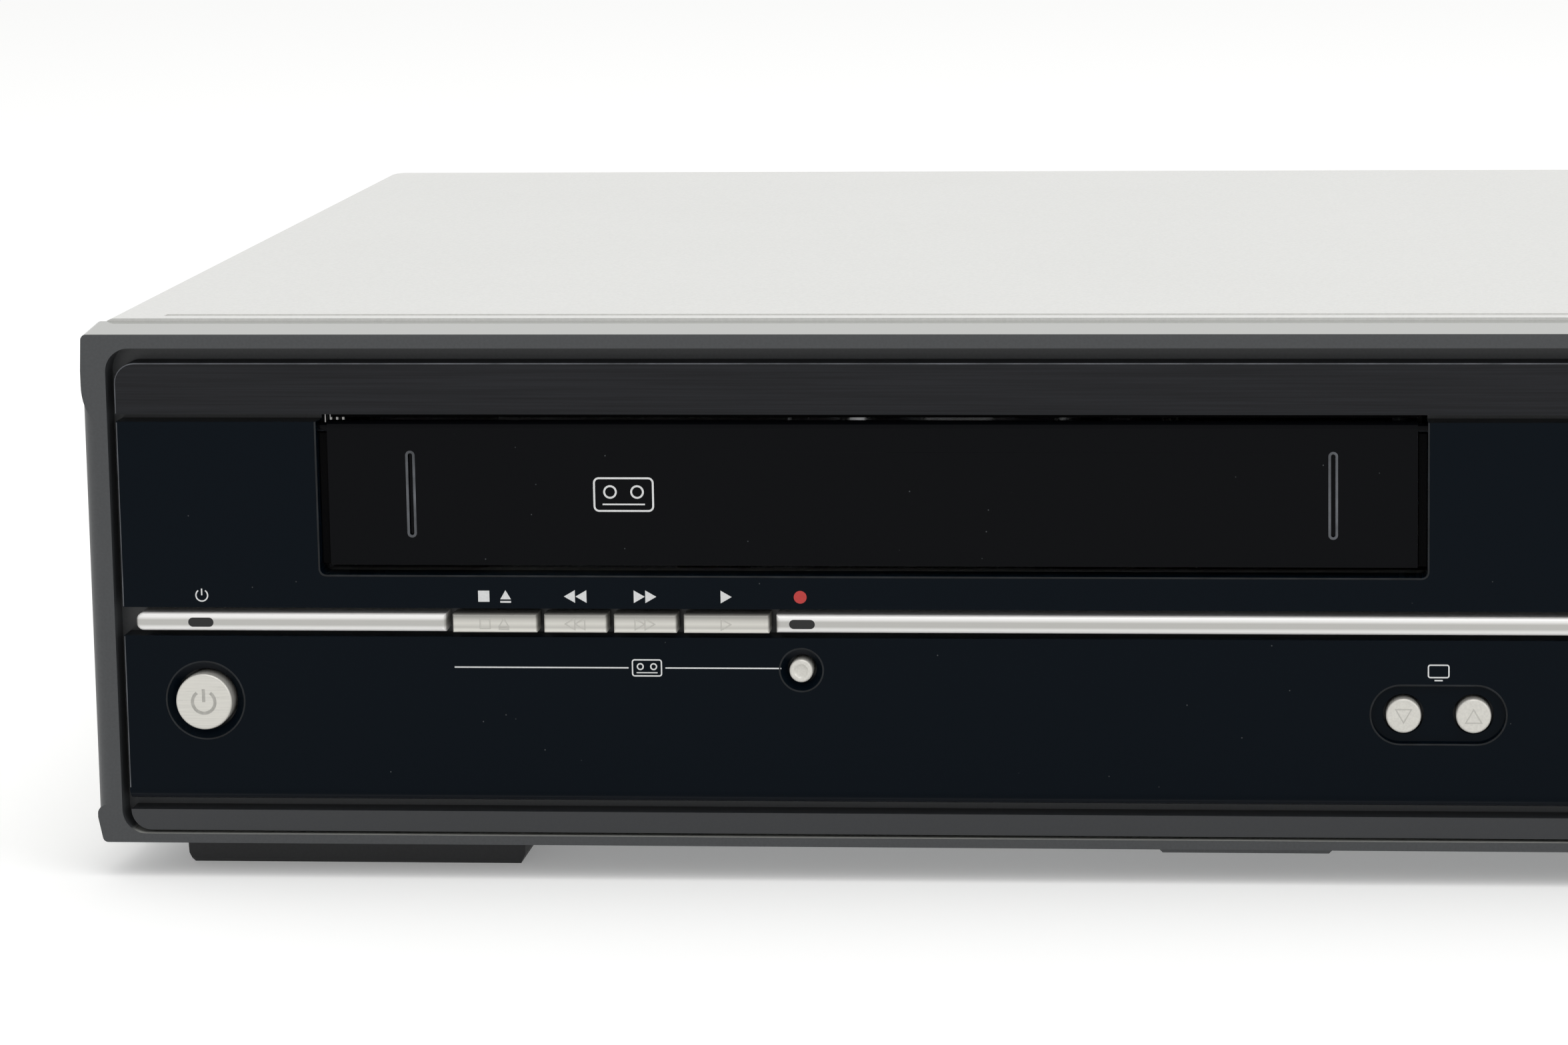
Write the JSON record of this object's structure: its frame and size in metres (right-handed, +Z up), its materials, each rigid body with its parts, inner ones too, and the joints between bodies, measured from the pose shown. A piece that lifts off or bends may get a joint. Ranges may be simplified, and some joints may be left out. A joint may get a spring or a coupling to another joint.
{
  "type": "disc and tape combination recorder",
  "caption": "Low silver and black recorder with a cassette door on the left, a sliding disc tray on the right and a row of bar keys between two gloss panels.",
  "frame": {"origin": "on the floor under the middle of the machine's bounding box", "axes": "+X to the right seen from the front, +Y from the front to the back, +Z up"},
  "size_m": [0.4356, 0.2654, 0.1004],
  "materials": {
    "silver_paint": "satin silver paint",
    "charcoal_plastic": "fine matt texture",
    "hairline_plastic": "matt hairline",
    "gloss_black": "polished",
    "grey_trim": "satin",
    "silver_plastic": "satin silver paint",
    "smoked_lens": "clear smoked",
    "zinc_steel": "zinc plated sheet",
    "screw_steel": "plated",
    "drum_metal": "turned",
    "black_plastic": "moulded",
    "pale_plastic": "moulded",
    "black_rubber": "moulded",
    "circuit_board": "lacquered"
  },
  "bodies": {
    "root": {"top_cover": "silver_paint", "front_frame": "charcoal_plastic", "brow_panel": "hairline_plastic", "upper_fascia": "gloss_black", "lower_fascia": "gloss_black", "bottom_trim": "grey_trim", "trim_bar_left": "silver_plastic", "trim_bar_centre": "silver_plastic", "trim_bar_right": "silver_plastic", "indicator_lenses": "smoked_lens", "display_window": "smoked_lens", "bottom_chassis": "zinc_steel", "rear_panel": "zinc_steel", "deck_frame": "zinc_steel", "clamp_bridge": "zinc_steel", "aerial_unit": "zinc_steel", "cover_screws": "screw_steel", "lower_drum": "drum_metal", "front_feet": "black_plastic", "drive_base": "black_plastic", "front_sockets": "black_plastic", "video_sockets": "black_plastic", "phono_sockets": "black_plastic", "mains_inlet": "black_plastic", "fan_housing": "black_plastic", "rear_feet": "black_rubber", "control_board": "circuit_board", "main_board": "circuit_board", "power_board": "circuit_board"},
    "door": {"cassette_door": "gloss_black"},
    "tray": {"disc_tray": "black_plastic", "tray_front": "gloss_black"},
    "tray_gear": {"tray_gear": "pale_plastic"},
    "clamp": {"disc_clamp": "black_plastic"},
    "traverse": {"traverse_frame": "zinc_steel", "guide_rods": "screw_steel"},
    "turntable": {"turntable": "black_plastic"},
    "sled": {"laser_sled": "black_plastic"},
    "slider": {"basket_slider": "pale_plastic"},
    "basket": {"cassette_basket": "zinc_steel"},
    "supply_reel": {"supply_reel": "pale_plastic"},
    "takeup_reel": {"takeup_reel": "pale_plastic"},
    "head_drum": {"head_drum": "drum_metal"},
    "capstan": {"capstan": "screw_steel"},
    "pinch_arm": {"pinch_arm": "pale_plastic"},
    "pinch_roller": {"pinch_roller": "black_rubber"},
    "fan_rotor": {"fan_rotor": "black_plastic"},
    "stop_eject_key": {"stop_eject_key": "silver_plastic"},
    "rewind_key": {"rewind_key": "silver_plastic"},
    "forward_key": {"forward_key": "silver_plastic"},
    "play_key": {"play_key": "silver_plastic"},
    "disc_open_key": {"disc_open_key": "silver_plastic"},
    "disc_back_key": {"disc_back_key": "silver_plastic"},
    "disc_next_key": {"disc_next_key": "silver_plastic"},
    "disc_play_key": {"disc_play_key": "silver_plastic"},
    "power_button": {"power_button": "silver_plastic"},
    "tape_record_button": {"tape_record_button": "silver_plastic"},
    "disc_record_button": {"disc_record_button": "silver_plastic"},
    "channel_down_button": {"channel_down_button": "silver_plastic"},
    "channel_up_button": {"channel_up_button": "silver_plastic"}
  },
  "joints": [
    {"name": "door_hinge", "type": "hinge", "parent": "root", "child": "door", "pos_m": [-0.0772, -0.12885, 0.08195], "axis": [1, 0, 0], "range_deg": [0, 85], "stiffness_Nm_per_rad": 0.02, "springref_deg": -17.19},
    {"name": "tray_slide", "type": "slide", "parent": "root", "child": "tray", "axis": [0, -1, 0], "range_m": [0, 0.128]},
    {"name": "tray_gear_turn", "type": "hinge", "parent": "root", "child": "tray_gear", "pos_m": [0.07183, -0.1037, 0.068], "axis": [0, 0, 1], "range_deg": [-5, 921.7]},
    {"name": "clamp_spin", "type": "hinge", "parent": "root", "child": "clamp", "pos_m": [0.12098, -0.0497, 0.0805], "axis": [0, 0, 1], "continuous": true},
    {"name": "traverse_lift", "type": "hinge", "parent": "root", "child": "traverse", "pos_m": [0.12098, 0.0343, 0.0635], "axis": [-1, 0, 0], "range_deg": [0, 5]},
    {"name": "turntable_spin", "type": "hinge", "parent": "traverse", "child": "turntable", "pos_m": [0.12098, -0.05025, 0.06614], "axis": [0, -0.0872, 0.9962], "continuous": true},
    {"name": "sled_slide", "type": "slide", "parent": "traverse", "child": "sled", "axis": [0, 0.9962, 0.0872], "range_m": [0, 0.035]},
    {"name": "basket_in", "type": "slide", "parent": "root", "child": "slider", "axis": [0, 1, 0], "range_m": [0, 0.06]},
    {"name": "basket_down", "type": "slide", "parent": "slider", "child": "basket", "axis": [0, 0, -1], "range_m": [0, 0.022]},
    {"name": "supply_reel_spin", "type": "hinge", "parent": "root", "child": "supply_reel", "pos_m": [-0.1232, -0.0097, 0.025], "axis": [0, 0, 1], "continuous": true},
    {"name": "takeup_reel_spin", "type": "hinge", "parent": "root", "child": "takeup_reel", "pos_m": [-0.0312, -0.0097, 0.025], "axis": [0, 0, 1], "continuous": true},
    {"name": "drum_spin", "type": "hinge", "parent": "root", "child": "head_drum", "pos_m": [-0.0772, 0.0743, 0.031], "axis": [0, 0.1045, 0.9945], "continuous": true},
    {"name": "capstan_spin", "type": "hinge", "parent": "root", "child": "capstan", "pos_m": [-0.0302, 0.0543, 0.025], "axis": [0, 0, 1], "continuous": true},
    {"name": "pinch_swing", "type": "hinge", "parent": "root", "child": "pinch_arm", "pos_m": [-0.0142, 0.0663, 0.025], "axis": [0, 0, 1], "range_deg": [0, 30], "stiffness_Nm_per_rad": 0.01, "springref_deg": -5.73},
    {"name": "roller_spin", "type": "hinge", "parent": "pinch_arm", "child": "pinch_roller", "pos_m": [-0.03132, 0.07185, 0.04], "axis": [0, 0, 1], "continuous": true},
    {"name": "fan_spin", "type": "hinge", "parent": "root", "child": "fan_rotor", "pos_m": [0.15, 0.1177, 0.068], "axis": [0, 1, 0], "continuous": true},
    {"name": "stop_eject_key_press", "type": "slide", "parent": "root", "child": "stop_eject_key", "axis": [0, 1, 0], "range_m": [0, 0.0009], "stiffness_N_per_m": 400},
    {"name": "rewind_key_press", "type": "slide", "parent": "root", "child": "rewind_key", "axis": [0, 1, 0], "range_m": [0, 0.0009], "stiffness_N_per_m": 400},
    {"name": "forward_key_press", "type": "slide", "parent": "root", "child": "forward_key", "axis": [0, 1, 0], "range_m": [0, 0.0009], "stiffness_N_per_m": 400},
    {"name": "play_key_press", "type": "slide", "parent": "root", "child": "play_key", "axis": [0, 1, 0], "range_m": [0, 0.0009], "stiffness_N_per_m": 400},
    {"name": "disc_open_key_press", "type": "slide", "parent": "root", "child": "disc_open_key", "axis": [0, 1, 0], "range_m": [0, 0.0009], "stiffness_N_per_m": 400},
    {"name": "disc_back_key_press", "type": "slide", "parent": "root", "child": "disc_back_key", "axis": [0, 1, 0], "range_m": [0, 0.0009], "stiffness_N_per_m": 400},
    {"name": "disc_next_key_press", "type": "slide", "parent": "root", "child": "disc_next_key", "axis": [0, 1, 0], "range_m": [0, 0.0009], "stiffness_N_per_m": 400},
    {"name": "disc_play_key_press", "type": "slide", "parent": "root", "child": "disc_play_key", "axis": [0, 1, 0], "range_m": [0, 0.0009], "stiffness_N_per_m": 400},
    {"name": "power_button_press", "type": "slide", "parent": "root", "child": "power_button", "axis": [0, 1, 0], "range_m": [0, 0.0009], "stiffness_N_per_m": 400},
    {"name": "tape_record_button_press", "type": "slide", "parent": "root", "child": "tape_record_button", "axis": [0, 1, 0], "range_m": [0, 0.0009], "stiffness_N_per_m": 400},
    {"name": "disc_record_button_press", "type": "slide", "parent": "root", "child": "disc_record_button", "axis": [0, 1, 0], "range_m": [0, 0.0009], "stiffness_N_per_m": 400},
    {"name": "channel_down_button_press", "type": "slide", "parent": "root", "child": "channel_down_button", "axis": [0, 1, 0], "range_m": [0, 0.0009], "stiffness_N_per_m": 400},
    {"name": "channel_up_button_press", "type": "slide", "parent": "root", "child": "channel_up_button", "axis": [0, 1, 0], "range_m": [0, 0.0009], "stiffness_N_per_m": 400}
  ],
  "couplings": [
    {"joint": "tray_gear_turn", "follows": "tray_slide", "rad_per_m": 125}
  ]
}
